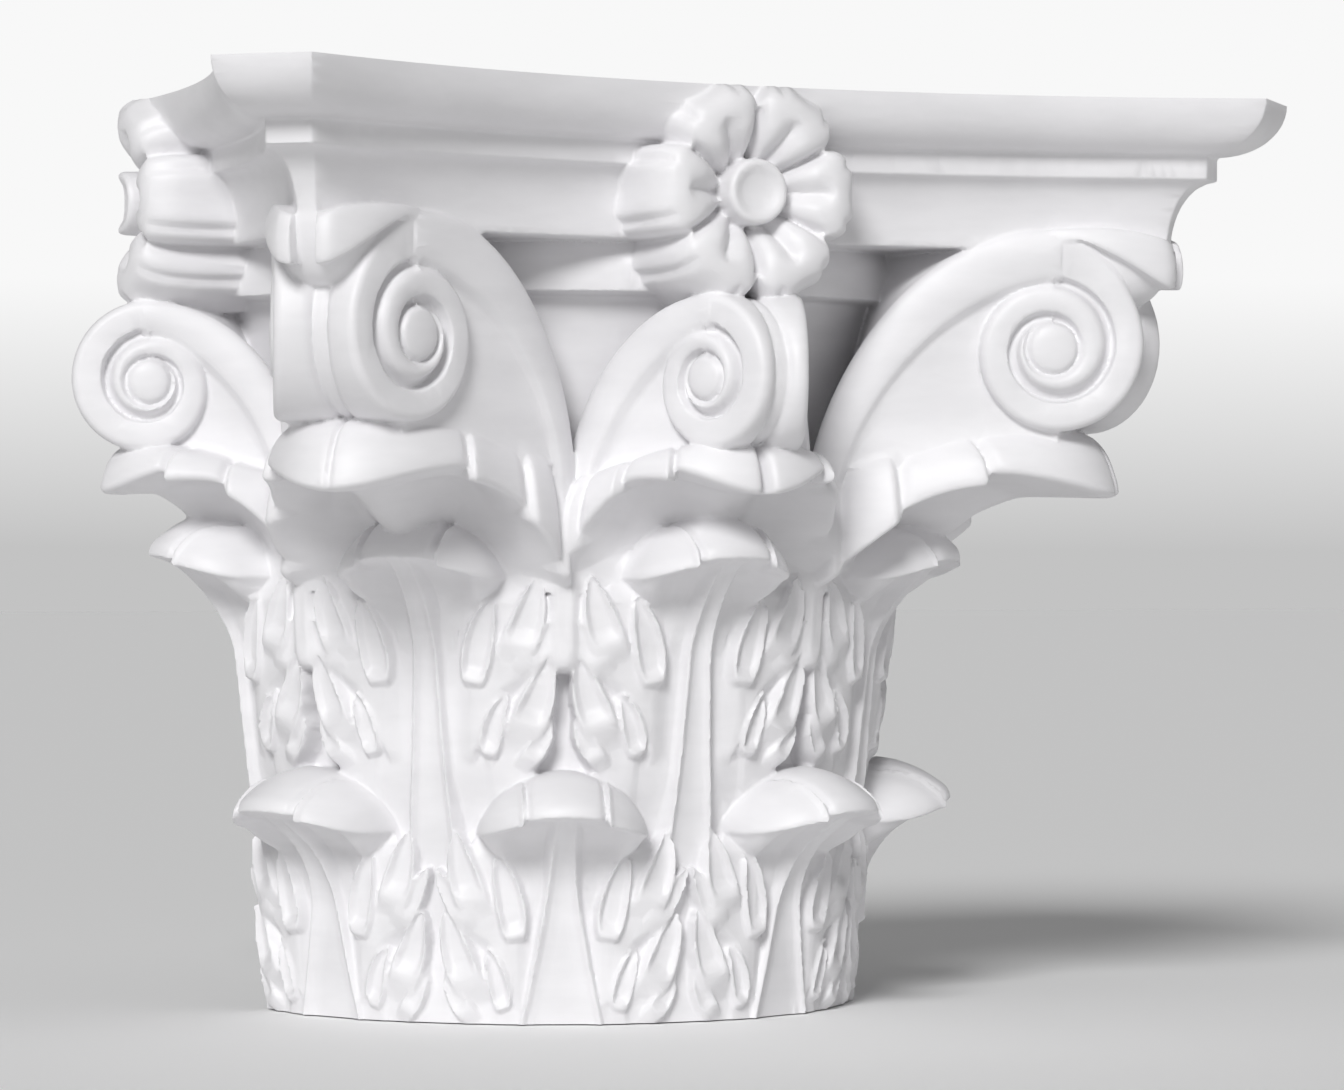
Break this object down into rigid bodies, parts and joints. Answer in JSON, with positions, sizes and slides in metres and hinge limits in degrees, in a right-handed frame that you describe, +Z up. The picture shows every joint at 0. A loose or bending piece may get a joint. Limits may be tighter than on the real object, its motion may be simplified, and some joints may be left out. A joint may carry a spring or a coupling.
{
  "type": "corinthian half capital",
  "caption": "Moulded Corinthian half capital with a flat back and underside: two rows of acanthus leaves, corner scrolls and rosettes under a hollow-sided abacus.",
  "frame": {"origin": "middle of the part's box at the level of its underside", "axes": "+X along the width, the longest side; +Y to the wall, at right angles to the flat back; +Z up"},
  "size_m": [0.444, 0.222, 0.35],
  "materials": {
    "body": "factory-primed rigid polyurethane, satin white"
  },
  "bodies": {
    "root": {"half_capital": "body"}
  },
  "joints": []
}
